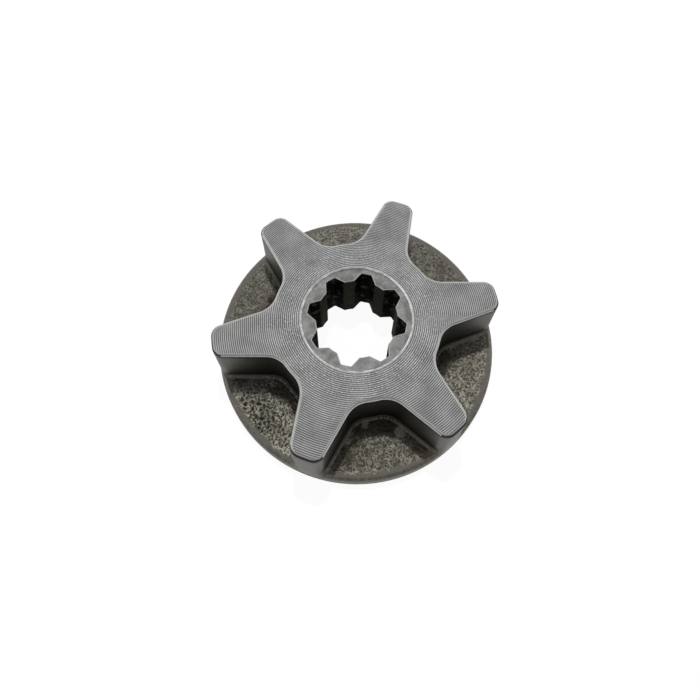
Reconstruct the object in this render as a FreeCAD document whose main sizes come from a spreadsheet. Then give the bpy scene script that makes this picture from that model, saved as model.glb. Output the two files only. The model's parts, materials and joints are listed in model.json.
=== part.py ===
import FreeCAD, Part
import math
import os
import Sketcher

# Drive sprocket of a small electric chainsaw: one piece of sintered steel with a flange disc below,
# six open teeth standing on it and a bore with eight trapezoid spline grooves.
# Frame: +Z along the bore axis, away from the flange. The origin is the centre of the flange's underside,
# and one tooth points along +X. Lengths are in millimetres, angles in degrees.

SIZES = {
    "overall_height": 9.2,
    "flange_diameter": 36.0,
    "flange_thickness": 2.0,
    "rim_rounding": 0.55,
    "base_edge_break": 0.3,
    "tooth_count": 6,
    "tip_diameter": 35.8,
    "tip_width": 3.8,
    "flank_angle": 10.2,
    "tip_corner_radius": 1.4,
    "root_diameter": 21.1,
    "gullet_corner_radius": 3.0,
    "foot_chamfer": 0.4,
    "top_edge_break": 0.2,
    "recess_diameter": 13.6,
    "recess_depth": 0.25,
    "recess_chamfer": 0.15,
    "spline_groove_count": 8,
    "spline_minor_diameter": 10.1,
    "spline_major_diameter": 12.3,
    "groove_root_width": 1.23,
    "groove_flank_angle": 30.0,
    "spline_corner_radius": 0.25,
    "spline_edge_break": 0.15,
}

# The tooth and groove sketches start inside the hub and the bore, at these shares of their radius.
TOOTH_START_SHARE = 0.5
GROOVE_START_SHARE = 0.8

# Levels of the sketches above the flange's underside. Hub and teeth are rooted in the middle of the flange.
TOP_LEVEL = "sizes.overall_height"
ROOTED_LEVEL = "sizes.flange_thickness / 2"

# How close a measured place has to be to count as the same, in millimetres.
TOUCH = 1e-4

doc = FreeCAD.newDocument("drive_sprocket")
sheet = doc.addObject("Spreadsheet::Sheet", "sizes")
for row, (alias, value) in enumerate(SIZES.items(), start=1):
    sheet.set(f"A{row}", alias)
    sheet.set(f"B{row}", str(value))
    sheet.setAlias(f"B{row}", alias)
doc.recompute()

body = doc.addObject("PartDesign::Body", "drive_sprocket")
body.Label = "drive_sprocket"


def size(alias):
    """A driving dimension, read back from the sheet."""
    return float(sheet.get(alias))


def origin_feature(role):
    """The body's own origin plane or axis with this role."""
    return next(item for item in body.Origin.OriginFeatures if item.Role == role)


def new_sketch(name, plane):
    """An empty sketch on one of the body's origin planes."""
    sketch = body.newObject("Sketcher::SketchObject", name)
    sketch.AttachmentSupport = (origin_feature(plane), "")
    sketch.MapMode = "FlatFace"
    return sketch


def lift(sketch, formula):
    """Move a sketch up from the flange's underside."""
    sketch.setExpression("AttachmentOffset.Base.z", formula)


def line(start, end):
    return Part.LineSegment(FreeCAD.Vector(*start, 0), FreeCAD.Vector(*end, 0))


def arc(centre, radius, start_angle, end_angle):
    """A counter-clockwise arc, with its end angles from the sketch's first axis."""
    circle = Part.Circle(FreeCAD.Vector(*centre, 0), FreeCAD.Vector(0, 0, 1), radius)
    return Part.ArcOfCircle(circle, math.radians(start_angle), math.radians(end_angle))


def relate(sketch, kind, *elements):
    """Add a constraint that has no dimension."""
    sketch.addConstraint(Sketcher.Constraint(kind, *elements))


def dimension(sketch, name, formula, kind, *elements):
    """Add a named dimension that follows the sheet. The last of the elements is its first value."""
    index = sketch.addConstraint(Sketcher.Constraint(kind, *elements))
    sketch.renameConstraint(index, name)
    sketch.setExpression(f"Constraints.{name}", formula)


def circle_sketch(name, alias, level):
    """A level sketch of one circle about the bore axis, with its diameter from the sheet."""
    sketch = new_sketch(name, "XY_Plane")
    lift(sketch, level)
    radius = size(alias) / 2
    sketch.addGeometry(Part.Circle(FreeCAD.Vector(0, 0, 0), FreeCAD.Vector(0, 0, 1), radius))
    relate(sketch, "Coincident", 0, 3, -1, 1)
    dimension(sketch, "diameter", f"sizes.{alias}", "Diameter", 0, 2 * radius)
    return sketch


def close_loop(sketch, count):
    """Join the ends of a sketch's elements into one loop, in their order."""
    for element in range(count):
        relate(sketch, "Coincident", element, 2, (element + 1) % count, 1)


def pad_to_top(name, sketch, level):
    """A solid from a sketch at some level up to the top face."""
    item = body.newObject("PartDesign::Pad", name)
    item.Profile = sketch
    item.setExpression("Length", f"{TOP_LEVEL} - {level}")
    return item


def pocket(name, sketch):
    """A cut that starts at its sketch and goes down through everything."""
    item = body.newObject("PartDesign::Pocket", name)
    item.Profile = sketch
    item.Type = "ThroughAll"
    return item


def round_pattern(name, original, alias):
    """Copies of a feature, evenly round the bore axis."""
    item = body.newObject("PartDesign::PolarPattern", name)
    item.Originals = [original]
    item.Axis = (origin_feature("Z_Axis"), [""])
    item.Angle = 360
    item.setExpression("Occurrences", f"sizes.{alias}")
    body.Tip = item
    doc.recompute()
    return item


def dress_edges(kind, name, test, measure, alias):
    """A fillet or chamfer on the edges of the finished shape so far that a test picks."""
    doc.recompute()
    base = body.Tip
    edges = base.Shape.Edges
    picked = [f"Edge{number}" for number, edge in enumerate(edges, start=1) if test(edge)]
    item = body.newObject(f"PartDesign::{kind}", name)
    item.Base = (base, picked)
    item.setExpression(measure, f"sizes.{alias}")
    doc.recompute()
    return item


def distance_from_axis(vertex):
    return math.hypot(vertex.X, vertex.Y)


def upright_at(radius):
    """A test for straight upright edges at one distance from the bore axis."""
    def test(edge):
        low, high = edge.Vertexes[0], edge.Vertexes[-1]
        upright = math.hypot(high.X - low.X, high.Y - low.Y) < TOUCH and abs(high.Z - low.Z) > TOUCH
        return upright and abs(distance_from_axis(low) - radius) < TOUCH
    return test


def level_at(height, largest_radius):
    """A test for edges that lie in one level plane, no further out than a radius."""
    def test(edge):
        box = edge.BoundBox
        level = abs(box.ZMin - height) < TOUCH and abs(box.ZMax - height) < TOUCH
        return level and all(distance_from_axis(end) < largest_radius + TOUCH for end in edge.Vertexes)
    return test


# The hub that the teeth grow out of. Its wall is the floor of the gullets between them.
hub_circle = circle_sketch("hub_circle", "root_diameter", ROOTED_LEVEL)
pad_to_top("hub", hub_circle, ROOTED_LEVEL)

# One tooth, seen from above: straight flanks that close in towards a tip on the tip circle.
# It starts well inside the hub.
tip_radius = size("tip_diameter") / 2
tip_half = size("tip_width") / 2
tip_reach = math.sqrt(tip_radius**2 - tip_half**2)
tip_half_angle = math.degrees(math.asin(tip_half / tip_radius))
tooth_start = size("root_diameter") / 2 * TOOTH_START_SHARE
flank_angle = math.radians(size("flank_angle"))
start_half = tip_half + (tip_reach - tooth_start) * math.tan(flank_angle)

tooth_outline = new_sketch("tooth_outline", "XY_Plane")
lift(tooth_outline, ROOTED_LEVEL)
tooth_outline.addGeometry([
    line((tooth_start, -start_half), (tip_reach, -tip_half)),
    arc((0, 0), tip_radius, -tip_half_angle, tip_half_angle),
    line((tip_reach, tip_half), (tooth_start, start_half)),
    line((tooth_start, start_half), (tooth_start, -start_half)),
])
close_loop(tooth_outline, 4)
relate(tooth_outline, "Coincident", 1, 3, -1, 1)
relate(tooth_outline, "Vertical", 1, 1, 1, 2)
relate(tooth_outline, "Symmetric", 0, 1, 2, 2, -1)
dimension(tooth_outline, "tip_radius", "sizes.tip_diameter / 2", "Radius", 1, tip_radius)
dimension(tooth_outline, "tip_width", "sizes.tip_width", "DistanceY", 1, 1, 1, 2, 2 * tip_half)
dimension(tooth_outline, "flank_angle", "sizes.flank_angle * 1 deg", "Angle", 0, flank_angle)
tooth_start_formula = f"sizes.root_diameter / 2 * {TOOTH_START_SHARE}"
dimension(tooth_outline, "start", tooth_start_formula, "DistanceX", -1, 1, 0, 1, tooth_start)
tooth = pad_to_top("tooth", tooth_outline, ROOTED_LEVEL)
round_pattern("teeth", tooth, "tooth_count")

# The gullets' corners and the teeth's tip corners are rounded in plan.
gullet_edge = upright_at(size("root_diameter") / 2)
dress_edges("Fillet", "gullet_corners", gullet_edge, "Radius", "gullet_corner_radius")
dress_edges("Fillet", "tip_corners", upright_at(tip_radius), "Radius", "tip_corner_radius")

# The flange disc, turned from its half section. Its upper rim is rounded off and its lower edge is broken.
rim = size("flange_diameter") / 2
thickness = size("flange_thickness")
upper = size("rim_rounding")
lower = size("base_edge_break")
flange_section = new_sketch("flange_section", "YZ_Plane")
flange_section.addGeometry([
    line((0, 0), (rim - lower, 0)),
    line((rim - lower, 0), (rim, lower)),
    line((rim, lower), (rim, thickness - upper)),
    arc((rim - upper, thickness - upper), upper, 0, 90),
    line((rim - upper, thickness), (0, thickness)),
    line((0, thickness), (0, 0)),
])
relate(flange_section, "Coincident", 0, 2, 1, 1)
relate(flange_section, "Coincident", 1, 2, 2, 1)
relate(flange_section, "Tangent", 2, 2, 3, 1)
relate(flange_section, "Tangent", 3, 2, 4, 1)
relate(flange_section, "Coincident", 4, 2, 5, 1)
relate(flange_section, "Coincident", 5, 2, 0, 1)
relate(flange_section, "Coincident", 0, 1, -1, 1)
relate(flange_section, "Horizontal", 0)
relate(flange_section, "Vertical", 2)
relate(flange_section, "Horizontal", 4)
relate(flange_section, "Vertical", 5)
dimension(flange_section, "rim_radius", "sizes.flange_diameter / 2", "DistanceX", -1, 1, 2, 1, rim)
dimension(flange_section, "thickness", "sizes.flange_thickness", "DistanceY", -1, 1, 5, 1, thickness)
dimension(flange_section, "upper_rounding", "sizes.rim_rounding", "Radius", 3, upper)
dimension(flange_section, "edge_break_width", "sizes.base_edge_break", "DistanceX", 1, 1, 1, 2, lower)
dimension(flange_section, "edge_break_height", "sizes.base_edge_break", "DistanceY", 1, 1, 1, 2, lower)
flange = body.newObject("PartDesign::Revolution", "flange")
flange.Profile = flange_section
flange.ReferenceAxis = (flange_section, ["V_Axis"])
flange.Angle = 360
body.Tip = flange
doc.recompute()


def at_wall_foot(edge):
    """True for the edges where the teeth and the hub stand on the flange."""
    box = edge.BoundBox
    if box.ZMax > thickness + TOUCH or box.ZMin < thickness - upper - TOUCH:
        return False
    faces = flange.Shape.ancestorsOfType(edge, Part.Face)
    return any(face.BoundBox.ZMax > thickness + TOUCH for face in faces)


# The walls stand on the flange with a small chamfer, and the top edges are broken all round.
dress_edges("Chamfer", "wall_foot", at_wall_foot, "Size", "foot_chamfer")
top_edge = level_at(size("overall_height"), tip_radius)
dress_edges("Chamfer", "top_edges", top_edge, "Size", "top_edge_break")

# A shallow recess round the mouth of the bore, with a bevelled edge.
recess_circle = circle_sketch("recess_circle", "recess_diameter", TOP_LEVEL)
recess = pocket("recess", recess_circle)
recess.Type = "Length"
recess.setExpression("Length", "sizes.recess_depth")
recess_edge = level_at(size("overall_height"), size("recess_diameter") / 2)
dress_edges("Chamfer", "recess_bevel", recess_edge, "Size", "recess_chamfer")

# The bore at the tips of the spline lands.
bore_circle = circle_sketch("bore_circle", "spline_minor_diameter", TOP_LEVEL)
pocket("bore", bore_circle)

# One spline groove: a trapezoid that narrows outwards to a flat root. It starts inside the bore.
# A land stands in line with the first tooth, so the first groove is half a step round from it.
root = size("spline_major_diameter") / 2
root_half = size("groove_root_width") / 2
bore_radius = size("spline_minor_diameter") / 2
groove_start = bore_radius * GROOVE_START_SHARE
groove_flank = math.radians(size("groove_flank_angle"))
mouth_half = root_half + (root - groove_start) * math.tan(groove_flank)

groove_outline = new_sketch("groove_outline", "XY_Plane")
groove_outline.AttachmentOffset = FreeCAD.Placement(
    FreeCAD.Vector(0, 0, 0), FreeCAD.Rotation(FreeCAD.Vector(0, 0, 1), 180 / size("spline_groove_count")))
groove_outline.setExpression("AttachmentOffset.Rotation.Angle", "180 deg / sizes.spline_groove_count")
lift(groove_outline, TOP_LEVEL)
groove_outline.addGeometry([
    line((groove_start, -mouth_half), (root, -root_half)),
    line((root, -root_half), (root, root_half)),
    line((root, root_half), (groove_start, mouth_half)),
    line((groove_start, mouth_half), (groove_start, -mouth_half)),
])
close_loop(groove_outline, 4)
relate(groove_outline, "Symmetric", 1, 1, 1, 2, -1)
relate(groove_outline, "Symmetric", 0, 1, 2, 2, -1)
dimension(groove_outline, "root", "sizes.spline_major_diameter / 2", "DistanceX", -1, 1, 1, 1, root)
dimension(groove_outline, "root_width", "sizes.groove_root_width", "DistanceY", 1, 1, 1, 2, 2 * root_half)
dimension(groove_outline, "flank", "sizes.groove_flank_angle * 1 deg", "Angle", 0, groove_flank)
groove_start_formula = f"sizes.spline_minor_diameter / 2 * {GROOVE_START_SHARE}"
dimension(groove_outline, "start", groove_start_formula, "DistanceX", -1, 1, 0, 1, groove_start)
groove = pocket("groove", groove_outline)
round_pattern("grooves", groove, "spline_groove_count")

# The spline's corners are rounded, and the edges of its lower end are broken.
spline_reach = math.hypot(root, root_half)
dress_edges("Fillet", "groove_corners", upright_at(spline_reach), "Radius", "spline_corner_radius")
dress_edges("Fillet", "land_corners", upright_at(bore_radius), "Radius", "spline_corner_radius")
dress_edges("Chamfer", "spline_end", level_at(0, spline_reach), "Size", "spline_edge_break")

doc.recompute()
for item in doc.Objects:
    if "Invalid" in item.State or "Error" in item.State:
        raise RuntimeError(f"{item.Name} failed: {item.State}")
shape = body.Shape
if shape.isNull() or not shape.isValid() or len(shape.Solids) != 1:
    raise RuntimeError("the sprocket is not one valid solid")

os.makedirs("parts", exist_ok=True)
shape.exportStep(os.path.join("parts", f"{body.Label}.step"))
print(f"{body.Label}: {shape.Volume:.1f} mm3, {len(shape.Faces)} faces")
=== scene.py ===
import json
import math

import bpy
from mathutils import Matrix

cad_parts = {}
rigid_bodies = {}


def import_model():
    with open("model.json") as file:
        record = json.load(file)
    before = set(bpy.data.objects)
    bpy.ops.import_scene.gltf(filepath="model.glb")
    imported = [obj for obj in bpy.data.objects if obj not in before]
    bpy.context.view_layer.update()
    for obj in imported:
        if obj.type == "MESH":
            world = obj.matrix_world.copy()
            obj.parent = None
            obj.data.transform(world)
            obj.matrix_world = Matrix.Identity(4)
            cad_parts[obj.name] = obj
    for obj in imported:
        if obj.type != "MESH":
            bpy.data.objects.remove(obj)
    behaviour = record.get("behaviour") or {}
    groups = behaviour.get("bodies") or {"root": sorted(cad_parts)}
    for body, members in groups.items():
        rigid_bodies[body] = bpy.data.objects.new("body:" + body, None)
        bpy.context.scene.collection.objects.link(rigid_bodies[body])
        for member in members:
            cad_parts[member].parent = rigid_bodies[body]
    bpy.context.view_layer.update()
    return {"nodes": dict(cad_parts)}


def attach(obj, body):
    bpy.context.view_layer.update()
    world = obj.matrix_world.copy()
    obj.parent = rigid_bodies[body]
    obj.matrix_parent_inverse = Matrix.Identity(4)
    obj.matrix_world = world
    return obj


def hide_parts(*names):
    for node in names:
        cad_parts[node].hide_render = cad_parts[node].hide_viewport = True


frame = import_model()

# The blank. The sprocket is one piece of sintered steel: a flange disc, six open teeth on it and a splined
# bore. Powder is pressed in a die and sintered, and then the top is faced on a lathe. It starts as a merged
# copy of the CAD solid. All sizes are in millimetres, and MM turns them to metres.
MM = 0.001
MERGE_REACH = 0.001
FLAT_BEND = math.radians(0.3)


def work_on(thing):
    """Makes one object the only selected and active one."""
    bpy.ops.object.select_all(action="DESELECT")
    thing.select_set(True)
    bpy.context.view_layer.objects.active = thing


def pick(thing, kind, test):
    """Opens an object in edit mode with those vertices, edges or faces selected that pass a test."""
    work_on(thing)
    bpy.ops.object.mode_set(mode="EDIT")
    bpy.ops.mesh.select_mode(type=kind)
    bpy.ops.mesh.select_all(action="DESELECT")
    bpy.ops.object.mode_set(mode="OBJECT")
    parts = {"VERT": thing.data.vertices, "EDGE": thing.data.edges, "FACE": thing.data.polygons}[kind]
    for part in parts:
        part.select = test(part)
    bpy.ops.object.mode_set(mode="EDIT")


cad_node = frame["nodes"]["drive_sprocket"]
sprocket = cad_node.copy()
sprocket.data = cad_node.data.copy()
sprocket.name = "sprocket"
# The copy is a new piece, so it drops the CAD node's own tags.
for tag in list(sprocket.keys()):
    del sprocket[tag]
bpy.context.scene.collection.objects.link(sprocket)
pick(sprocket, "VERT", lambda vertex: True)
bpy.ops.mesh.remove_doubles(threshold=MERGE_REACH * MM)
bpy.ops.mesh.dissolve_limited(angle_limit=FLAT_BEND)
bpy.ops.object.mode_set(mode="OBJECT")
# Normals kept from the CAD mesh would shade the new facets wrongly.
bpy.ops.mesh.customdata_custom_splitnormals_clear()

# The top edges, broken and then rubbed round in a tumbling barrel: a long gentle slope off the top, and a
# short steep one down to the walls. The top is inset, its outline is lowered in two steps, and the corners
# that are still sharp are bevelled.
TOP_LEVEL = 9.2
EDGE_BREAK = 0.2
EDGE_REACH = 0.25
EDGE_DROP = 0.08
WALL_DROP = 0.15
EDGE_SOFTENING = 0.07
ROUNDED_ANGLE = math.radians(10)
RING_RADIUS = 7.05
SAME_PLACE = 0.004
LEVEL_FROM = 0.999


def radius_of(place):
    """How far a place is from the bore axis, in millimetres."""
    return math.hypot(place.x, place.y) / MM


def off_level(place, level):
    """How far a place is from a level, in millimetres."""
    return abs(place.z / MM - level)


def on_top(face):
    """Whether a face is part of the level top."""
    return face.normal.z > LEVEL_FROM and off_level(face.center, TOP_LEVEL) < SAME_PLACE


pick(sprocket, "FACE", on_top)
bpy.ops.mesh.inset(thickness=EDGE_REACH * MM)
bpy.ops.object.mode_set(mode="OBJECT")
flat_top = {vertex.index for vertex in sprocket.data.vertices if vertex.select}


def on_outline(vertex, level):
    """Whether a vertex is on the outline of the teeth, at a level."""
    outside = radius_of(vertex.co) > RING_RADIUS and vertex.index not in flat_top
    return outside and off_level(vertex.co, level) < SAME_PLACE


pick(sprocket, "VERT", lambda vertex: on_outline(vertex, TOP_LEVEL - EDGE_BREAK))
bpy.ops.transform.translate(value=(0, 0, -WALL_DROP * MM))
bpy.ops.object.mode_set(mode="OBJECT")
pick(sprocket, "VERT", lambda vertex: on_outline(vertex, TOP_LEVEL))
bpy.ops.transform.translate(value=(0, 0, -EDGE_DROP * MM))
bpy.ops.object.mode_set(mode="OBJECT")


def bends_of(thing):
    """The angle between the two faces at each edge, by the edge's key."""
    sides = {}
    for face in thing.data.polygons:
        for key in face.edge_keys:
            sides.setdefault(key, []).append(face.normal.copy())
    return {key: pair[0].angle(pair[1]) for key, pair in sides.items()}


bends = bends_of(sprocket)


def on_broken_edge(edge):
    """Whether an edge is still sharp and belongs to the slopes round the top."""
    ends = [sprocket.data.vertices[index].co for index in edge.vertices]
    by_recess = min(radius_of(end) for end in ends) < RING_RADIUS
    lowest = TOP_LEVEL if by_recess else TOP_LEVEL - EDGE_BREAK - WALL_DROP
    if min(end.z for end in ends) / MM < lowest - SAME_PLACE:
        return False
    return bends[edge.key] > ROUNDED_ANGLE


pick(sprocket, "EDGE", on_broken_edge)
bpy.ops.mesh.bevel(offset=EDGE_SOFTENING * MM, segments=2, affect="EDGES")
bpy.ops.object.mode_set(mode="OBJECT")

# The upper ends of the spline, at the floor of the recess round the bore. They were broken in the same
# barrel, which leaves a thin bright edge.
RECESS_DEPTH = 0.25
SPLINE_REACH = 6.3
SPLINE_BREAK = 0.1
recess_level = TOP_LEVEL - RECESS_DEPTH
bends = bends_of(sprocket)


def on_spline_mouth(edge):
    """Whether an edge is a sharp one where the spline opens into the recess."""
    ends = [sprocket.data.vertices[index].co for index in edge.vertices]
    in_recess = all(off_level(end, recess_level) < SAME_PLACE for end in ends)
    inside = max(radius_of(end) for end in ends) < SPLINE_REACH
    return in_recess and inside and bends[edge.key] > ROUNDED_ANGLE


pick(sprocket, "EDGE", on_spline_mouth)
bpy.ops.mesh.bevel(offset=SPLINE_BREAK * MM, segments=2, affect="EDGES")
bpy.ops.object.mode_set(mode="OBJECT")

# The flash, a thin ledge of steel along the foot of the walls, where two punches of the press met just above
# the gullet floors.
FLASH_LEVEL = 2.4
FLASH_WIDTH = 0.05


def on_flash_line(edge):
    """Whether an edge runs along the top of the foot chamfer."""
    ends = [sprocket.data.vertices[index].co for index in edge.vertices]
    return all(off_level(end, FLASH_LEVEL) < SAME_PLACE for end in ends)


pick(sprocket, "EDGE", on_flash_line)
bpy.ops.mesh.bevel(offset=FLASH_WIDTH * MM, segments=1, affect="EDGES")
bpy.ops.object.mode_set(mode="OBJECT")

# Die-pressed steel, on the walls and the rim: smooth dark grey metal, a little mottled by the powder. The
# walls are painted darker towards the hub as painted shade in the gullets, a band on the walls just under
# the top edges is painted dark as painted shade, and the rim is painted darker towards its bottom as painted
# shade.
WALL_MOTTLE = 0.6
RIM_GRIT = 0.35
WALL_SHADE_FULL_TO = 12.0
WALL_SHADE_GONE_AT = 17.6
RIM_DARK_TO = 0.9
RIM_LIGHT_FROM = 1.9
RIM_TOP = 1.95
UNDER_EDGE_SHADE_REACH = 1.0
UNDER_EDGE_SHADE_FULL = 0.6


def linear(hex_colour):
    """An sRGB hex colour as the linear colour that a shader takes."""
    shares = [int(hex_colour[i:i + 2], 16) / 255 for i in (1, 3, 5)]
    return [s / 12.92 if s <= 0.04045 else ((s + 0.055) / 1.055) ** 2.4 for s in shares] + [1.0]


def add(tree, kind, settings, inputs):
    """Adds a node with its properties, and sets or links its inputs by name or number."""
    node = tree.nodes.new(kind)
    for name, value in settings.items():
        setattr(node, name, value)
    for name, value in inputs.items():
        if isinstance(value, bpy.types.NodeSocket):
            tree.links.new(value, node.inputs[name])
        else:
            node.inputs[name].default_value = value
    return node


def new_finish(name):
    """A material with no nodes but the piece's own coordinates, in millimetres."""
    finish = bpy.data.materials.new(name)
    finish.use_nodes = True
    tree = finish.node_tree
    tree.nodes.clear()
    own = add(tree, "ShaderNodeTexCoord", {}, {})
    place = add(tree, "ShaderNodeMapping", {}, {"Vector": own.outputs["Object"], "Scale": [1 / MM] * 3})
    return finish, tree, place.outputs["Vector"]


die_pressed, tree, place = new_finish("die_pressed_steel")
mottle = add(tree, "ShaderNodeTexNoise", {}, {"Vector": place, "Scale": 1 / WALL_MOTTLE, "Detail": 6.0})
tone = add(tree, "ShaderNodeMix", {"data_type": "RGBA"},
           {0: mottle.outputs["Fac"], 6: linear("#3c3a37"), 7: linear("#706e69")})
flat_place = add(tree, "ShaderNodeVectorMath", {"operation": "MULTIPLY"}, {0: place, 1: (1, 1, 0)})
from_axis = add(tree, "ShaderNodeVectorMath", {"operation": "LENGTH"}, {0: flat_place.outputs["Vector"]})
# Painted shade: the walls darken towards the hub, inside the gullets.
wall_shade_fade = add(tree, "ShaderNodeMapRange", {},
              {"Value": from_axis.outputs["Value"], "From Min": WALL_SHADE_FULL_TO, "From Max": WALL_SHADE_GONE_AT})
walls_with_painted_shade = add(tree, "ShaderNodeMix", {"data_type": "RGBA"},
           {0: wall_shade_fade.outputs["Result"], 6: linear("#393732"), 7: tone.outputs[2]})
split = add(tree, "ShaderNodeSeparateXYZ", {}, {"Vector": place})
grit = add(tree, "ShaderNodeTexNoise", {}, {"Vector": place, "Scale": 1 / RIM_GRIT, "Detail": 4.0})
coat = add(tree, "ShaderNodeMapRange", {}, {"Value": grit.outputs["Fac"], "From Min": 0.2, "From Max": 0.8})
rim = add(tree, "ShaderNodeMix", {"data_type": "RGBA"},
          {0: coat.outputs["Result"], 6: linear("#57544c"), 7: linear("#848177")})
# Painted shade: the rim darkens towards its bottom.
rim_shade_fade = add(tree, "ShaderNodeMapRange", {},
             {"Value": split.outputs["Z"], "From Min": RIM_DARK_TO, "From Max": RIM_LIGHT_FROM})
rim_shaded_below = add(tree, "ShaderNodeMix", {"data_type": "RGBA"},
                {0: rim_shade_fade.outputs["Result"], 6: linear("#3a3832"), 7: rim.outputs[2]})
up_wall = add(tree, "ShaderNodeMapRange", {},
              {"Value": split.outputs["Z"], "From Min": RIM_TOP, "From Max": FLASH_LEVEL})
joined = add(tree, "ShaderNodeMix", {"data_type": "RGBA"},
             {0: up_wall.outputs["Result"], 6: rim_shaded_below.outputs[2], 7: walls_with_painted_shade.outputs[2]})
# Painted shade: a dark band on the walls just under the top edges.
under_edge_shade = add(tree, "ShaderNodeMapRange", {},
            {"Value": split.outputs["Z"], "From Min": TOP_LEVEL - UNDER_EDGE_SHADE_REACH,
             "From Max": TOP_LEVEL - UNDER_EDGE_SHADE_FULL, "To Max": 0.7})
with_under_edge_shade = add(tree, "ShaderNodeMix", {"data_type": "RGBA"},
            {0: under_edge_shade.outputs["Result"], 6: joined.outputs[2], 7: linear("#171613")})
gloss = add(tree, "ShaderNodeMapRange", {}, {"Value": mottle.outputs["Fac"], "To Min": 0.38, "To Max": 0.52})
shader = add(tree, "ShaderNodeBsdfPrincipled", {},
             {"Base Color": with_under_edge_shade.outputs[2], "Metallic": 1.0, "Roughness": gloss.outputs["Result"]})
add(tree, "ShaderNodeOutputMaterial", {}, {"Surface": shader.outputs["BSDF"]})

# Faced steel, on the top: light grey turned metal in soft clouds. The turning grooves darken with their
# depth, for fine dust in them and as painted shade. White specks on the ridges are painted glints, more of
# them near the bore. Real glints are far smaller than GLINT_SIZE, and are drawn as coarse as they need to
# show.
GROOVE_PITCH = 0.245
GROOVE_DEPTH = 0.035
FACING_SKIM = 0.004
CLOUD_SIZE = 2.4
GLINT_SIZE = 0.2
GLINTS_FULL_TO = 9.0
GLINTS_GONE_AT = 13.0
groove_top = TOP_LEVEL - FACING_SKIM
faced, tree, place = new_finish("faced_steel")
split = add(tree, "ShaderNodeSeparateXYZ", {}, {"Vector": place})
# Dust and painted shade: the grooves darken with their depth.
groove_dust_and_shade = add(tree, "ShaderNodeMapRange", {},
            {"Value": split.outputs["Z"], "From Min": groove_top - GROOVE_DEPTH, "From Max": groove_top})
clouds = add(tree, "ShaderNodeTexNoise", {}, {"Vector": place, "Scale": 1 / CLOUD_SIZE, "Detail": 5.0})
tone = add(tree, "ShaderNodeMix", {"data_type": "RGBA"},
           {0: clouds.outputs["Fac"], 6: linear("#8a8d8f"), 7: linear("#ecedec")})
grit = add(tree, "ShaderNodeTexNoise", {}, {"Vector": place, "Scale": 1 / GLINT_SIZE, "Detail": 2.0})
flat_place = add(tree, "ShaderNodeVectorMath", {"operation": "MULTIPLY"}, {0: place, 1: (1, 1, 0)})
from_axis = add(tree, "ShaderNodeVectorMath", {"operation": "LENGTH"}, {0: flat_place.outputs["Vector"]})
# Painted glints: more white specks near the bore.
painted_glints_near_bore = add(tree, "ShaderNodeMapRange", {},
             {"Value": from_axis.outputs["Value"], "From Min": GLINTS_FULL_TO, "From Max": GLINTS_GONE_AT,
              "To Min": 0.1, "To Max": 0.0})
painted_glint_noise = add(tree, "ShaderNodeMath", {"operation": "ADD"},
              {0: grit.outputs["Fac"], 1: painted_glints_near_bore.outputs["Result"]})
# Painted glints: white specks mixed into the colour of the ridges.
painted_glint_share = add(tree, "ShaderNodeMapRange", {},
            {"Value": painted_glint_noise.outputs[0], "From Min": 0.62, "From Max": 0.76, "To Max": 0.88})
with_painted_glints = add(tree, "ShaderNodeMix", {"data_type": "RGBA"},
               {0: painted_glint_share.outputs["Result"], 6: tone.outputs[2], 7: linear("#ffffff")})
with_groove_dust_and_shade = add(tree, "ShaderNodeMix", {"data_type": "RGBA"},
            {0: groove_dust_and_shade.outputs["Result"], 6: linear("#3f3e3a"), 7: with_painted_glints.outputs[2]})
shader = add(tree, "ShaderNodeBsdfPrincipled", {},
             {"Base Color": with_groove_dust_and_shade.outputs[2], "Metallic": 1.0, "Roughness": 0.55})
add(tree, "ShaderNodeOutputMaterial", {}, {"Surface": shader.outputs["BSDF"]})

# Porous sintered steel, on the gullet floors: a crust that is olive grey on its ridges and nearly black in
# its pores, with oily stains and dirt, darkest towards the hub and along the walls, where they are also
# painted shade, bare grey flakes, a little rust beside one tooth and a plain band along the rim. Marks are
# (x, y, size), and the dark marks of dirt and shade have their darkest share as a fourth number.
FLOOR_LEVEL = 2.0
PIT_DEPTH = 0.2
PORE_SIZE = 0.32
PORE_BENDS = 0.45
PORE_WOBBLE = 0.3
PATCH_SIZE = 2.5
SPILL_SIZE = 1.6
BLOTCH_SIZE = 1.2
RAGGED = 1.5
FLAKES = ((-0.93, -11.23, 0.5), (3.1, -12.81, 0.6), (15.47, -2.44, 0.55), (-3.3, -12.8, 0.35))
DIRT_AND_SHADE = ((0.5, -14.0, 6.5, 0.4), (13.0, -6.5, 6.5, 0.2), (12.5, 7.5, 6.5, 0.25), (-12.5, 7.5, 6.5, 0.2),
        (-15.4, -2.5, 1.9, 0.95), (-12.9, -3.0, 1.7, 0.8), (1.6, -11.7, 1.9, 0.95), (-2.0, -11.6, 1.2, 0.7),
        (-4.7, -14.4, 2.6, 0.75), (5.2, -14.2, 2.2, 0.7), (14.2, -3.8, 2.4, 0.4), (11.2, -5.0, 1.8, 0.4))
DIRT_AND_SHADE_CORE = 0.45
FLAKE_CORE = 0.8
FLAKE_FADE = 1.2
RUST_PLACE = (5.8, -15.1, 2.05)
RUST_CORE = 0.3
RUST_REACH = 1.4
NEAR_FLOORS_TO = -8.0
FAR_FLOORS_FROM = 5.0
OIL_AND_SHADE_FROM = 11.0
OIL_AND_SHADE_TO = 15.0
COARSE_PLACE = (-14.6, -8.0)
COARSE_REACH = 5.0
CRUST_EDGE = 17.15
BAND_EDGE = 16.8
BAND_WANDER = 0.6
porous, tree, place = new_finish("porous_sintered_steel")
split = add(tree, "ShaderNodeSeparateXYZ", {}, {"Vector": place})
height = add(tree, "ShaderNodeMapRange", {},
             {"Value": split.outputs["Z"], "From Min": FLOOR_LEVEL - PIT_DEPTH, "From Max": FLOOR_LEVEL})
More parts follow.
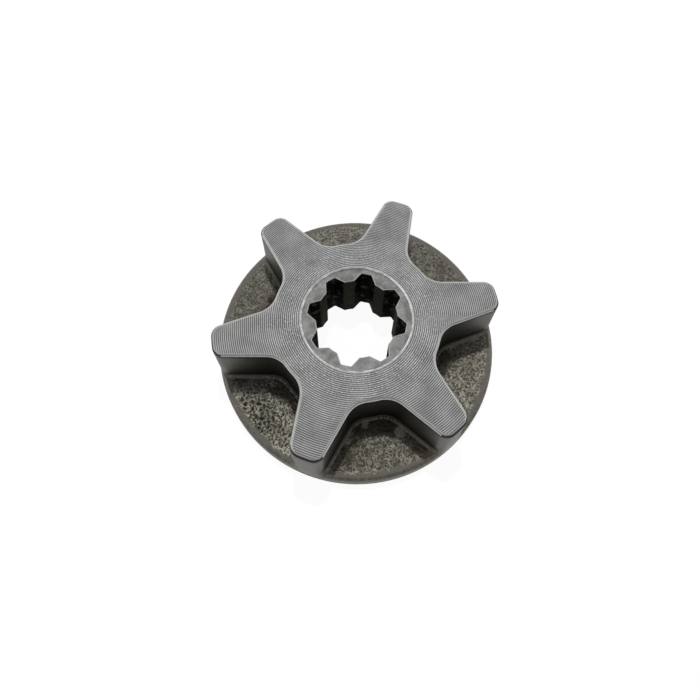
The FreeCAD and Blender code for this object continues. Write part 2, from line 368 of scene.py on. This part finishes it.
wobble = add(tree, "ShaderNodeTexNoise", {}, {"Vector": place, "Scale": 1 / PORE_BENDS, "Detail": 6.0})
wobbled = add(tree, "ShaderNodeVectorMath", {"operation": "MULTIPLY_ADD"},
              {0: wobble.outputs["Color"], 1: [PORE_WOBBLE] * 3, 2: place})
pores = add(tree, "ShaderNodeTexNoise", {"noise_type": "RIDGED_MULTIFRACTAL"},
            {"Vector": wobbled.outputs["Vector"], "Scale": 1 / PORE_SIZE, "Detail": 2.0,
             "Offset": 1.0, "Gain": 2.0})
ridge = add(tree, "ShaderNodeMapRange", {},
            {"Value": pores.outputs["Fac"], "From Min": 0.9, "From Max": 1.5, "To Min": 0.1, "To Max": 1.0})
light = add(tree, "ShaderNodeMath", {"operation": "MULTIPLY"},
            {0: height.outputs["Result"], 1: ridge.outputs["Result"]})
# The far floors take a greyer, darker tone than the near ones.
farther = add(tree, "ShaderNodeMapRange", {},
              {"Value": split.outputs["Y"], "From Min": NEAR_FLOORS_TO, "From Max": FAR_FLOORS_FROM})
patches = add(tree, "ShaderNodeTexNoise", {}, {"Vector": place, "Scale": 1 / PATCH_SIZE, "Detail": 4.0})
tone = add(tree, "ShaderNodeMix", {"data_type": "RGBA"},
           {0: patches.outputs["Fac"], 6: linear("#b2ae9f"), 7: linear("#d8d4c5")})
far_floors_toned = add(tree, "ShaderNodeMix", {"data_type": "RGBA"},
             {0: farther.outputs["Result"], 6: tone.outputs[2], 7: linear("#a09e95")})
from_coarse = add(tree, "ShaderNodeVectorMath", {"operation": "DISTANCE"},
                  {0: place, 1: (*COARSE_PLACE, FLOOR_LEVEL)})
finer = add(tree, "ShaderNodeMapRange", {},
            {"Value": from_coarse.outputs["Value"], "From Min": COARSE_REACH, "From Max": 2 * COARSE_REACH})
depth = add(tree, "ShaderNodeMix", {"data_type": "RGBA"},
            {0: finer.outputs["Result"], 6: linear("#211e15"), 7: linear("#454237")})
crust = add(tree, "ShaderNodeMix", {"data_type": "RGBA"},
            {0: light.outputs[0], 6: depth.outputs[2], 7: far_floors_toned.outputs[2]})
flat_place = add(tree, "ShaderNodeVectorMath", {"operation": "MULTIPLY"}, {0: place, 1: (1, 1, 0)})
from_axis = add(tree, "ShaderNodeVectorMath", {"operation": "LENGTH"}, {0: flat_place.outputs["Vector"]})
# Oily stains near the hub, which also stand in as painted shade at the foot of the hub wall.
hub_oil_and_shade = add(tree, "ShaderNodeMapRange", {},
             {"Value": from_axis.outputs["Value"], "From Min": OIL_AND_SHADE_FROM, "From Max": OIL_AND_SHADE_TO,
              "To Min": 0.45, "To Max": -0.25})
spill = add(tree, "ShaderNodeTexNoise", {}, {"Vector": place, "Scale": 1 / SPILL_SIZE, "Detail": 4.0})
oil_and_shade = add(tree, "ShaderNodeMath", {"operation": "ADD"},
          {0: spill.outputs["Fac"], 1: hub_oil_and_shade.outputs["Result"]})
oil_and_shade_share = add(tree, "ShaderNodeMapRange", {},
                {"Value": oil_and_shade.outputs[0], "From Min": 0.55, "From Max": 0.76, "To Max": 0.9})
oiled_and_shaded = add(tree, "ShaderNodeMix", {"data_type": "RGBA"},
            {0: oil_and_shade_share.outputs["Result"], 6: crust.outputs[2], 7: linear("#171204")})
blotch = add(tree, "ShaderNodeTexNoise", {}, {"Vector": place, "Scale": 1 / BLOTCH_SIZE, "Detail": 5.0})
blotch_share = add(tree, "ShaderNodeMapRange", {},
                   {"Value": blotch.outputs["Fac"], "From Min": 0.45, "From Max": 0.65, "To Max": 0.4})
marked = add(tree, "ShaderNodeMix", {"data_type": "RGBA"},
             {0: blotch_share.outputs["Result"], 6: oiled_and_shaded.outputs[2], 7: linear("#24221a")})
# The marks have ragged edges: the noise moves each place by up to RAGGED, and by half of it on average.
ragged = add(tree, "ShaderNodeVectorMath", {"operation": "MULTIPLY_ADD"},
             {0: blotch.outputs["Color"], 1: [RAGGED] * 3, 2: place})
# Dark marks, partly dirt and partly painted shade: whole gullets darkened, and soft patches along the walls
# that blur the edges of the cast shadows.
for dark_x, dark_y, dark_reach, dark_most in DIRT_AND_SHADE:
    from_dirt_and_shade = add(tree, "ShaderNodeVectorMath", {"operation": "DISTANCE"},
                    {0: ragged.outputs["Vector"],
                     1: [dark_x + RAGGED / 2, dark_y + RAGGED / 2, FLOOR_LEVEL + RAGGED / 2]})
    dirt_and_shade_share = add(tree, "ShaderNodeMapRange", {},
                     {"Value": from_dirt_and_shade.outputs["Value"], "From Min": DIRT_AND_SHADE_CORE * dark_reach,
                      "From Max": dark_reach, "To Min": dark_most, "To Max": 0.0})
    marked = add(tree, "ShaderNodeMix", {"data_type": "RGBA"},
                 {0: dirt_and_shade_share.outputs["Result"], 6: marked.outputs[2], 7: linear("#211b0a")})
for flake_x, flake_y, flake_size in FLAKES:
    from_flake = add(tree, "ShaderNodeVectorMath", {"operation": "DISTANCE"},
                     {0: ragged.outputs["Vector"],
                      1: [flake_x + RAGGED / 2, flake_y + RAGGED / 2, FLOOR_LEVEL + RAGGED / 2]})
    flake_share = add(tree, "ShaderNodeMapRange", {},
                      {"Value": from_flake.outputs["Value"], "From Min": FLAKE_CORE * flake_size,
                       "From Max": FLAKE_FADE * flake_size, "To Min": 0.7, "To Max": 0.0})
    marked = add(tree, "ShaderNodeMix", {"data_type": "RGBA"},
                 {0: flake_share.outputs["Result"], 6: marked.outputs[2], 7: linear("#858376")})
from_rust = add(tree, "ShaderNodeVectorMath", {"operation": "DISTANCE"}, {0: place, 1: RUST_PLACE})
rust_share = add(tree, "ShaderNodeMapRange", {},
                 {"Value": from_rust.outputs["Value"], "From Min": RUST_CORE, "From Max": RUST_REACH,
                  "To Min": 0.8, "To Max": 0.0})
rusty = add(tree, "ShaderNodeMix", {"data_type": "RGBA"},
            {0: rust_share.outputs["Result"], 6: marked.outputs[2], 7: linear("#4a3310")})
band_reach = add(tree, "ShaderNodeMath", {"operation": "ADD"},
                 {0: from_axis.outputs["Value"], 1: blotch.outputs["Fac"]})
band_share = add(tree, "ShaderNodeMapRange", {},
                 {"Value": band_reach.outputs[0], "From Min": BAND_EDGE + BAND_WANDER,
                  "From Max": CRUST_EDGE + BAND_WANDER})
banded = add(tree, "ShaderNodeMix", {"data_type": "RGBA"},
             {0: band_share.outputs["Result"], 6: rusty.outputs[2], 7: linear("#5e5c55")})
shader = add(tree, "ShaderNodeBsdfPrincipled", {},
             {"Base Color": banded.outputs[2], "Metallic": 0.15, "Roughness": 0.7})
add(tree, "ShaderNodeOutputMaterial", {}, {"Surface": shader.outputs["BSDF"]})

# Matt sintered steel, on the floor of the recess and on the underside: fine-grained grey in clouds. The
# powder's own grain is finer than POWDER_GRAIN, and is drawn as coarse as it needs to show.
POWDER_GRAIN = 0.3
STAIN_SIZE = 1.5
matt, tree, place = new_finish("matt_sintered_steel")
grain = add(tree, "ShaderNodeTexNoise", {}, {"Vector": place, "Scale": 1 / POWDER_GRAIN, "Detail": 4.0})
tone = add(tree, "ShaderNodeMix", {"data_type": "RGBA"},
           {0: grain.outputs["Fac"], 6: linear("#7c7e7c"), 7: linear("#bcbdba")})
clouds = add(tree, "ShaderNodeTexNoise", {}, {"Vector": place, "Scale": 1 / STAIN_SIZE, "Detail": 5.0})
stain = add(tree, "ShaderNodeMapRange", {},
            {"Value": clouds.outputs["Fac"], "From Min": 0.42, "From Max": 0.62, "To Max": 0.5})
stained = add(tree, "ShaderNodeMix", {"data_type": "RGBA"},
              {0: stain.outputs["Result"], 6: tone.outputs[2], 7: linear("#51524f")})
shader = add(tree, "ShaderNodeBsdfPrincipled", {},
             {"Base Color": stained.outputs[2], "Metallic": 1.0, "Roughness": 0.55})
add(tree, "ShaderNodeOutputMaterial", {}, {"Surface": shader.outputs["BSDF"]})

# Black oxide of the sintering furnace, on the spline walls: dull and nearly black, with smudges of dust, and
# greyer on the lands that rub on the shaft. An oxide isn't a metal, and this one hardly shines.
LAND_RADIUS = 5.05
LAND_CORE = 0.1
LAND_FADE = 0.2
SMUDGE_SIZE = 1.1
oxide, tree, place = new_finish("black_oxide_steel")
dust = add(tree, "ShaderNodeTexNoise", {}, {"Vector": place, "Scale": 1 / SMUDGE_SIZE, "Detail": 5.0})
smudge = add(tree, "ShaderNodeMapRange", {},
             {"Value": dust.outputs["Fac"], "From Min": 0.52, "From Max": 0.7})
tone = add(tree, "ShaderNodeMix", {"data_type": "RGBA"},
           {0: smudge.outputs["Result"], 6: linear("#080807"), 7: linear("#55554d")})
flat_place = add(tree, "ShaderNodeVectorMath", {"operation": "MULTIPLY"}, {0: place, 1: (1, 1, 0)})
from_axis = add(tree, "ShaderNodeVectorMath", {"operation": "LENGTH"}, {0: flat_place.outputs["Vector"]})
land = add(tree, "ShaderNodeMapRange", {},
           {"Value": from_axis.outputs["Value"], "From Min": LAND_RADIUS + LAND_CORE,
            "From Max": LAND_RADIUS + LAND_FADE, "To Min": 0.8, "To Max": 0.0})
greyed = add(tree, "ShaderNodeMix", {"data_type": "RGBA"},
             {0: land.outputs["Result"], 6: tone.outputs[2], 7: linear("#44443c")})
shader = add(tree, "ShaderNodeBsdfPrincipled", {},
             {"Base Color": greyed.outputs[2], "Roughness": 0.5, "Specular IOR Level": 0.004})
add(tree, "ShaderNodeOutputMaterial", {}, {"Surface": shader.outputs["BSDF"]})

# Rubbed steel, on the top edges and the spline's upper ends: worn glossy in the tumbling barrel, so they
# show as thin light lines.
RUBBED_MOTTLE = 0.5
rubbed, tree, place = new_finish("rubbed_bright_steel")
mottle = add(tree, "ShaderNodeTexNoise", {}, {"Vector": place, "Scale": 1 / RUBBED_MOTTLE, "Detail": 4.0})
tone = add(tree, "ShaderNodeMix", {"data_type": "RGBA"},
           {0: mottle.outputs["Fac"], 6: linear("#9c9d9c"), 7: linear("#bebebd")})
shader = add(tree, "ShaderNodeBsdfPrincipled", {},
             {"Base Color": tone.outputs[2], "Metallic": 1.0, "Roughness": 0.22})
add(tree, "ShaderNodeOutputMaterial", {}, {"Surface": shader.outputs["BSDF"]})

# Burnished steel, on the edge and wall of the recess: rubbed by the washer that turned against it, in
# patches, and lightened up to white as a painted highlight, which makes it the lightest metal of all.
BURNISH_PATCH = 0.8
burnished_and_highlit, tree, place = new_finish("burnished_and_highlit_steel")
mottle = add(tree, "ShaderNodeTexNoise", {}, {"Vector": place, "Scale": 1 / BURNISH_PATCH, "Detail": 5.0})
# Painted highlight: patches of the ring lightened up to white.
burnish_and_highlight = add(tree, "ShaderNodeMapRange", {},
              {"Value": mottle.outputs["Fac"], "From Min": 0.35, "From Max": 0.6})
tone = add(tree, "ShaderNodeMix", {"data_type": "RGBA"},
           {0: burnish_and_highlight.outputs["Result"], 6: linear("#b0b1b1"), 7: linear("#ffffff")})
shader = add(tree, "ShaderNodeBsdfPrincipled", {},
             {"Base Color": tone.outputs[2], "Metallic": 1.0, "Roughness": 0.6})
add(tree, "ShaderNodeOutputMaterial", {}, {"Surface": shader.outputs["BSDF"]})

# Smooth steel, where the turning grooves end: the flat ring round the recess and the first of the slope
# along the top edges. Plain mid grey metal.
SMOOTH_MOTTLE = 0.6
smooth, tree, place = new_finish("smooth_steel")
mottle = add(tree, "ShaderNodeTexNoise", {}, {"Vector": place, "Scale": 1 / SMOOTH_MOTTLE, "Detail": 5.0})
tone = add(tree, "ShaderNodeMix", {"data_type": "RGBA"},
           {0: mottle.outputs["Fac"], 6: linear("#a6a8a9"), 7: linear("#cbcdce")})
shader = add(tree, "ShaderNodeBsdfPrincipled", {},
             {"Base Color": tone.outputs[2], "Metallic": 1.0, "Roughness": 0.55})
add(tree, "ShaderNodeOutputMaterial", {}, {"Surface": shader.outputs["BSDF"]})

# Flash steel, on the ledge along the foot of the walls: dark grey metal, rubbed a little by the chain, so it
# shows as a faint line.
FLASH_MOTTLE = 0.6
flash, tree, place = new_finish("flash_steel")
mottle = add(tree, "ShaderNodeTexNoise", {}, {"Vector": place, "Scale": 1 / FLASH_MOTTLE, "Detail": 5.0})
tone = add(tree, "ShaderNodeMix", {"data_type": "RGBA"},
           {0: mottle.outputs["Fac"], 6: linear("#383835"), 7: linear("#4c4c48")})
shader = add(tree, "ShaderNodeBsdfPrincipled", {},
             {"Base Color": tone.outputs[2], "Metallic": 1.0, "Roughness": 0.5})
add(tree, "ShaderNodeOutputMaterial", {}, {"Surface": shader.outputs["BSDF"]})

# Where each finish goes: every face of the blank takes the one of the way it was made, by its place and by
# how far it looks upward. At the tooth tips more of the slopes keep the die-pressed finish, and with it its
# painted shade under the edges.
RECESS_RADIUS = 6.8
TIPS_FROM = 16.8
TIPS_FADE = 0.7
EDGE_UPWARD = 0.45
TIP_UPWARD = 0.35
MOUTH_UPWARD = (0.3, 0.98)
WALL_UPWARD = 0.9
GENTLE_UPWARD = 0.96
FLASH_UPWARD = 0.2
FINISHES = [die_pressed, faced, porous, matt, oxide, rubbed, burnished_and_highlit, smooth, flash]
sprocket.data.materials.clear()
for finish in FINISHES:
    sprocket.data.materials.append(finish)


def finish_of(face):
    """Which finish a face of the blank has, by its place and normal."""
    radius = radius_of(face.center)
    level = face.center.z / MM
    upward = face.normal.z
    if radius < SPLINE_REACH and level > recess_level - SPLINE_BREAK:
        if MOUTH_UPWARD[0] < upward < MOUTH_UPWARD[1]:
            return rubbed
    if radius < SPLINE_REACH and level < recess_level - SAME_PLACE and abs(upward) < WALL_UPWARD:
        return oxide
    if radius < RECESS_RADIUS + SAME_PLACE and upward > WALL_UPWARD and level > FLOOR_LEVEL:
        return matt
    if level > TOP_LEVEL - EDGE_BREAK and GENTLE_UPWARD < upward < LEVEL_FROM:
        return smooth
    if radius < RING_RADIUS and level > recess_level:
        return burnished_and_highlit
    near_tip = min(max((radius - TIPS_FROM) / TIPS_FADE, 0), 1)
    if level > TOP_LEVEL - EDGE_BREAK - WALL_DROP and upward > EDGE_UPWARD + TIP_UPWARD * near_tip:
        return rubbed
    if abs(level - FLASH_LEVEL) < FLASH_WIDTH / 2 and upward > FLASH_UPWARD:
        return flash
    if abs(level - FLOOR_LEVEL) < SAME_PLACE and upward > LEVEL_FROM:
        return porous
    if upward < -WALL_UPWARD:
        return matt
    return die_pressed


for face in sprocket.data.polygons:
    face.material_index = FINISHES.index(finish_of(face))

# The facing cut. The lathe tool's feed leaves one fine groove per turn, so the cutter is a ring whose
# underside is a row of ridges, and it takes a thin skin off the top. What it leaves is the smooth ring.
FLANGE_RADIUS = 18.0
CUTTER_HEIGHT = 0.4
CUTTER_STEPS = 256
cutter_inner = RING_RADIUS
groove_count = math.ceil((FLANGE_RADIUS - cutter_inner) / GROOVE_PITCH)
cutter_outer = cutter_inner + groove_count * GROOVE_PITCH
bpy.ops.object.select_all(action="DESELECT")
bpy.ops.mesh.primitive_plane_add(size=1.0)
cutter = bpy.context.object
bpy.ops.object.mode_set(mode="EDIT")
bpy.ops.mesh.delete(type="ONLY_FACE")
bpy.ops.mesh.select_all(action="SELECT")
bpy.ops.transform.resize(value=((cutter_outer - cutter_inner) * MM, CUTTER_HEIGHT * MM, 1.0))
bpy.ops.transform.rotate(value=math.radians(-90), orient_axis="X", center_override=(0, 0, 0))
bpy.ops.transform.translate(
    value=((cutter_outer + cutter_inner) / 2 * MM, 0, (groove_top + CUTTER_HEIGHT / 2) * MM))
bpy.ops.object.mode_set(mode="OBJECT")


def at_groove_top(vertex):
    """Whether a vertex is on the cutter's underside."""
    return off_level(vertex.co, groove_top) < SAME_PLACE


pick(cutter, "EDGE", lambda edge: all(at_groove_top(cutter.data.vertices[index]) for index in edge.vertices))
bpy.ops.mesh.subdivide(number_cuts=2 * groove_count - 1)
bpy.ops.object.mode_set(mode="OBJECT")


def at_ridge(vertex):
    """Whether a vertex of the underside is one that cuts the bottom of a groove."""
    steps = round((vertex.co.x / MM - cutter_inner) / (GROOVE_PITCH / 2))
    return at_groove_top(vertex) and steps % 2 == 1


pick(cutter, "VERT", at_ridge)
bpy.ops.transform.translate(value=(0, 0, -GROOVE_DEPTH * MM))
bpy.ops.object.mode_set(mode="OBJECT")
pick(cutter, "VERT", lambda vertex: True)
bpy.ops.mesh.spin(steps=CUTTER_STEPS, angle=2 * math.pi, center=(0, 0, 0), axis=(0, 0, 1))
bpy.ops.mesh.select_all(action="SELECT")
bpy.ops.mesh.remove_doubles(threshold=MERGE_REACH * MM)
bpy.ops.mesh.normals_make_consistent(inside=False)
bpy.ops.object.mode_set(mode="OBJECT")
cutter.data.materials.append(faced)
work_on(sprocket)
facing = sprocket.modifiers.new("facing", "BOOLEAN")
facing.operation = "DIFFERENCE"
facing.solver = "EXACT"
facing.material_mode = "TRANSFER"
facing.object = cutter
bpy.ops.object.modifier_apply(modifier="facing")
bpy.data.objects.remove(cutter)
smooth_index = sprocket.data.materials.find(smooth.name)
for face in sprocket.data.polygons:
    if face.center.z / MM > TOP_LEVEL - FACING_SKIM / 2:
        face.material_index = smooth_index

# The porous floors of the gullets, cut into a fine grid and then eaten away into pits. The pits are deepest
# in one coarse corner, and flakes and the band along the rim have none.
GRID = 0.1
GRID_SNAP = 0.0005
FINE_SHARE = 0.4
COARSE_SHARE = 0.6
FLAKE_RISE = 4
PIT_SPACING = 0.58
PIT_BITE = 0.6
SWELL_SIZE = 0.9
SWELL_RISE = 0.16
SWELL_MIDDLE = 0.6
porous_index = sprocket.data.materials.find(porous.name)
pick(sprocket, "FACE", lambda face: face.material_index == porous_index)
bpy.ops.mesh.dissolve_faces()
bpy.ops.mesh.hide(unselected=True)
grid_lines = math.ceil(FLANGE_RADIUS / GRID)
for across in ((1, 0, 0), (0, 1, 0)):
    for step in range(-grid_lines, grid_lines + 1):
        bpy.ops.mesh.select_all(action="SELECT")
        cut_at = [share * step * GRID * MM for share in across]
        bpy.ops.mesh.bisect(plane_co=cut_at, plane_no=across, threshold=GRID_SNAP * MM)
bpy.ops.mesh.reveal(select=False)
bpy.ops.object.mode_set(mode="OBJECT")

pick(sprocket, "FACE", lambda face: face.material_index == porous_index)
bpy.ops.mesh.select_less()
bpy.ops.object.mode_set(mode="OBJECT")
crust_group = sprocket.vertex_groups.new(name="crust")
for vertex in sprocket.data.vertices:
    if vertex.select:
        x = vertex.co.x / MM
        y = vertex.co.y / MM
        from_band = (CRUST_EDGE - math.hypot(x, y)) / (CRUST_EDGE - BAND_EDGE)
        bare = min(math.hypot(x - flake[0], y - flake[1]) / flake[2] for flake in FLAKES)
        eaten = max(0.0, min(1.0, from_band, FLAKE_RISE * (bare - 1)))
        coarse = max(0.0, 1 - math.hypot(x - COARSE_PLACE[0], y - COARSE_PLACE[1]) / COARSE_REACH)
        crust_group.add([vertex.index], eaten * (FINE_SHARE + COARSE_SHARE * coarse), "REPLACE")

pits = bpy.data.textures.new("pits", "CLOUDS")
pits.noise_basis = "VORONOI_F2_F1"
pits.noise_scale = PIT_SPACING * MM
pits.noise_depth = 1
swell = bpy.data.textures.new("swell", "CLOUDS")
swell.noise_scale = SWELL_SIZE * MM
swell.noise_depth = 3
work_on(sprocket)
for texture, strength, middle in ((pits, -PIT_BITE, 0.0), (swell, SWELL_RISE, SWELL_MIDDLE)):
    bite = sprocket.modifiers.new(texture.name, "DISPLACE")
    bite.texture = texture
    bite.texture_coords = "LOCAL"
    bite.direction = "Z"
    bite.vertex_group = "crust"
    bite.mid_level = middle
    bite.strength = strength * MM
    bpy.ops.object.modifier_apply(modifier=texture.name)

# The foot chamfer of the walls, between the floors and the flash. It was pressed by the same punch as the
# floors, so it has their porous finish.
FOOT_MARGIN = 0.1
FOOT_UPWARD = (0.6, 0.8)
SMOOTH_ANGLE = math.radians(32)
for face in sprocket.data.polygons:
    on_foot = FLOOR_LEVEL + FOOT_MARGIN < face.center.z / MM < FLASH_LEVEL - FOOT_MARGIN
    if on_foot and FOOT_UPWARD[0] < face.normal.z < FOOT_UPWARD[1]:
        face.material_index = porous_index

work_on(sprocket)
bpy.ops.object.shade_smooth_by_angle(angle=SMOOTH_ANGLE)
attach(sprocket, "root")
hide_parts("drive_sprocket")

# The table, covered with plain white paper, that the sprocket lies on. It is white to the camera and in
# reflections, and a small share of it takes the light, so it keeps the sprocket's soft shadow.
TABLE_SIZE = 4000.0
GLOW_SHARE = 0.95
bpy.ops.object.select_all(action="DESELECT")
bpy.ops.mesh.primitive_plane_add(size=TABLE_SIZE * MM)
table = bpy.context.object
table.name = "table"
paper, tree, place = new_finish("white_paper")
path = add(tree, "ShaderNodeLightPath", {}, {})
seen = add(tree, "ShaderNodeMath", {"operation": "MAXIMUM"},
           {0: path.outputs["Is Camera Ray"], 1: path.outputs["Is Glossy Ray"]})
seen = add(tree, "ShaderNodeMath", {"operation": "MAXIMUM"},
           {0: seen.outputs[0], 1: path.outputs["Is Transmission Ray"]})
share = add(tree, "ShaderNodeMath", {"operation": "MULTIPLY"}, {0: seen.outputs[0], 1: GLOW_SHARE})
sheet = add(tree, "ShaderNodeBsdfDiffuse", {}, {"Color": linear("#ffffff")})
white = add(tree, "ShaderNodeEmission", {}, {"Color": linear("#ffffff"), "Strength": 1.0})
mixed = add(tree, "ShaderNodeMixShader", {}, {0: share.outputs[0], 1: sheet.outputs[0], 2: white.outputs[0]})
add(tree, "ShaderNodeOutputMaterial", {}, {"Surface": mixed.outputs[0]})
table.data.materials.append(paper)

# The studio light: a white room that is darker on the photographer's side, and one small lamp above and
# behind the sprocket. The lamp stays out of mirror reflections, so bare metal shows the room alone.
ROOM_LIGHT = 0.36
NEAR_SIDE = 0.42
FAR_SIDE = 1.0
NEAR_SIDE_TO = -0.6
FAR_SIDE_FROM = 0.15
world = bpy.data.worlds.new("studio")
world.use_nodes = True
tree = world.node_tree
tree.nodes.clear()
path = add(tree, "ShaderNodeLightPath", {}, {})
seen = add(tree, "ShaderNodeMath", {"operation": "MAXIMUM"},
           {0: path.outputs["Is Camera Ray"], 1: path.outputs["Is Transmission Ray"]})
direction = add(tree, "ShaderNodeTexCoord", {}, {})
split = add(tree, "ShaderNodeSeparateXYZ", {}, {"Vector": direction.outputs["Generated"]})
room_side = add(tree, "ShaderNodeMapRange", {},
                {"Value": split.outputs["Y"], "From Min": NEAR_SIDE_TO, "From Max": FAR_SIDE_FROM,
                 "To Min": NEAR_SIDE, "To Max": FAR_SIDE})
mirrored = add(tree, "ShaderNodeMix", {"data_type": "FLOAT"},
               {0: path.outputs["Is Glossy Ray"], 2: ROOM_LIGHT, 3: room_side.outputs["Result"]})
level = add(tree, "ShaderNodeMix", {"data_type": "FLOAT"},
            {0: seen.outputs[0], 2: mirrored.outputs[0], 3: 1.0})
room = add(tree, "ShaderNodeBackground", {}, {"Color": linear("#ffffff"), "Strength": level.outputs[0]})
add(tree, "ShaderNodeOutputWorld", {}, {"Surface": room.outputs[0]})
bpy.context.scene.world = world

LAMP_DISTANCE = 500.0
LAMP_ELEVATION = 71.7
LAMP_AZIMUTH = 8.2
LAMP_SIZE = 20.0
LAMP_POWER = 2.1
lamp = bpy.data.lights.new("lamp", "AREA")
lamp.shape = "DISK"
lamp.size = LAMP_SIZE * MM
lamp.energy = LAMP_POWER
lamp_stand = bpy.data.objects.new("lamp", lamp)
reach = LAMP_DISTANCE * MM * math.cos(math.radians(LAMP_ELEVATION))
lamp_stand.location = (reach * math.sin(math.radians(LAMP_AZIMUTH)),
                       reach * math.cos(math.radians(LAMP_AZIMUTH)),
                       LAMP_DISTANCE * MM * math.sin(math.radians(LAMP_ELEVATION)))
lamp_stand.rotation_euler = (math.radians(LAMP_ELEVATION - 90), 0, math.radians(-LAMP_AZIMUTH))
lamp_stand.visible_glossy = False
bpy.context.scene.collection.objects.link(lamp_stand)

# The camera, at the place that the photograph was taken from. Place, angles, lens and shift were fitted to
# the flange, the tooth tips and the bore in the photograph.
CAMERA_PLACE = (-7.049, -30.989, 85.223)
CAMERA_AZIMUTH = 10.138
CAMERA_ELEVATION = 59.881
LENS_LENGTH = 34.18
SENSOR_WIDTH = 36.0
SHIFT_ACROSS = 0.0076
SHIFT_UP = -0.171
NEAREST = 5.0
lens = bpy.data.cameras.new("camera")
lens.lens = LENS_LENGTH
lens.sensor_width = SENSOR_WIDTH
lens.clip_start = NEAREST * MM
lens.shift_x = SHIFT_ACROSS
lens.shift_y = SHIFT_UP
camera = bpy.data.objects.new("camera", lens)
camera.location = [value * MM for value in CAMERA_PLACE]
camera.rotation_euler = (math.radians(90 - CAMERA_ELEVATION), 0, math.radians(-CAMERA_AZIMUTH))
bpy.context.scene.collection.objects.link(camera)
bpy.context.scene.camera = camera
bpy.context.scene.view_settings.view_transform = "Standard"
